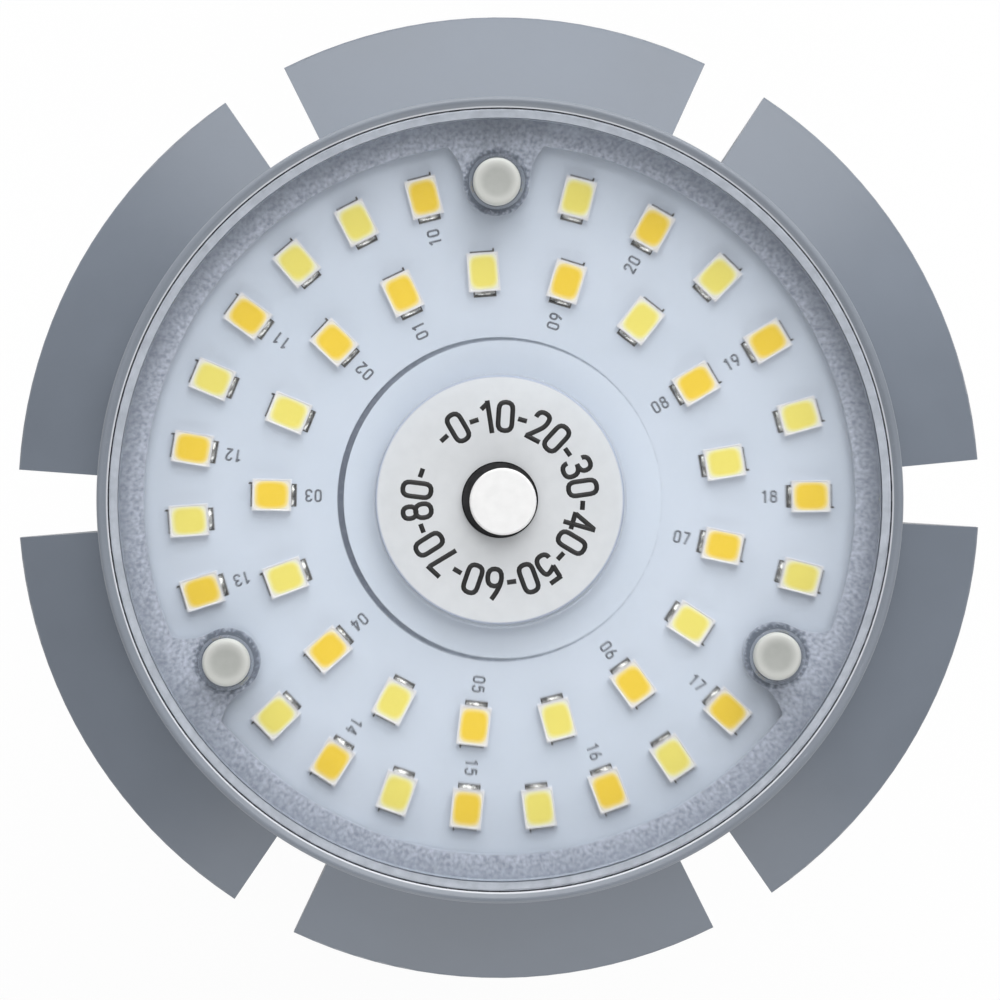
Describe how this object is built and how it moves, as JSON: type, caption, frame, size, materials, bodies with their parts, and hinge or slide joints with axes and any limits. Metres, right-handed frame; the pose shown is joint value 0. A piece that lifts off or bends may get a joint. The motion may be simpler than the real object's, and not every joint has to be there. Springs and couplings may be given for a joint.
{
  "type": "led hid replacement bulb",
  "caption": "LED lamp in place of a discharge lamp: mogul screw base, bell-shaped driver neck, lit panels round a finned core, lit end behind a clear cover, plugged control port in the middle.",
  "frame": {"origin": "tip of the screw base's centre contact, on the lamp's axis", "axes": "+Z from the base to the lit end, +Y towards the cover screw that is uppermost in the picture, -Y towards the switch window in the neck"},
  "size_m": [0.0838, 0.084, 0.1924],
  "materials": {
    "nickel": "nickel plated, satin",
    "base_glass": "black glass, glossy",
    "neck_plastic": "fine moulded grain",
    "frame_grey": "satin grey paint",
    "core_aluminium": "extruded, plain",
    "clear_cover": "clear, polished",
    "board_white": "white solder mask",
    "led_warm": "warm phosphor in a white package",
    "led_cool": "cool phosphor in a white package",
    "gasket": "silicone, matt",
    "plug_grey": "silicone, matt",
    "bezel_white": "fine grain",
    "jack_black": "moulded",
    "plug_white": "silicone, matt",
    "tag_brass": "tinned",
    "screw_steel": "zinc plated",
    "wire_black": "wire insulation",
    "wire_white": "wire insulation",
    "driver_board": "green solder mask",
    "ferrite": "ferrite and tape",
    "capacitor_sleeve": "shrink sleeve",
    "choke_sleeve": "shrink sleeve",
    "switch_body": "moulded",
    "slider_white": "moulded"
  },
  "bodies": {
    "lamp": {"base_contact": "nickel", "base_insulator": "base_glass", "base_shell": "nickel", "colour_switch": "switch_body", "contact_lead": "wire_black", "core_heatsink": "core_aluminium", "cover_gasket": "gasket", "cover_screws": "screw_steel", "driver_board": "driver_board", "driver_capacitor": "capacitor_sleeve", "driver_choke": "choke_sleeve", "driver_transformer": "ferrite", "front_board": "board_white", "front_cover": "clear_cover", "front_frame": "frame_grey", "front_leads": "wire_white", "front_leds_cool": "led_cool", "front_leds_warm": "led_warm", "interface_bezel": "bezel_white", "interface_jack": "jack_black", "jack_terminals": "tag_brass", "neck_housing": "neck_plastic", "neck_screws": "screw_steel", "power_switch": "switch_body", "rear_frame": "frame_grey", "screw_plugs": "plug_grey", "sensor_leads": "wire_black", "shell_lead": "wire_white", "side_board_1": "board_white", "side_board_2": "board_white", "side_board_3": "board_white", "side_board_4": "board_white", "side_board_5": "board_white", "side_board_6": "board_white", "side_cover_1": "clear_cover", "side_cover_2": "clear_cover", "side_cover_3": "clear_cover", "side_cover_4": "clear_cover", "side_cover_5": "clear_cover", "side_cover_6": "clear_cover", "side_leads": "wire_white", "side_leds_cool": "led_cool", "side_leds_warm": "led_warm", "side_screws": "screw_steel", "tie_screws": "screw_steel"},
    "stopper": {"interface_plug": "plug_white"},
    "colour_selector": {"colour_slider": "slider_white"},
    "power_selector": {"power_slider": "slider_white"}
  },
  "joints": [
    {"name": "stopper_pull", "type": "slide", "parent": "lamp", "child": "stopper", "axis": [0, 0, 1], "range_m": [0, 0.015]},
    {"name": "colour_select", "type": "slide", "parent": "lamp", "child": "colour_selector", "axis": [1, 0, 0], "range_m": [-0.002, 0.002]},
    {"name": "power_select", "type": "slide", "parent": "lamp", "child": "power_selector", "axis": [1, 0, 0], "range_m": [-0.002, 0.002]}
  ]
}
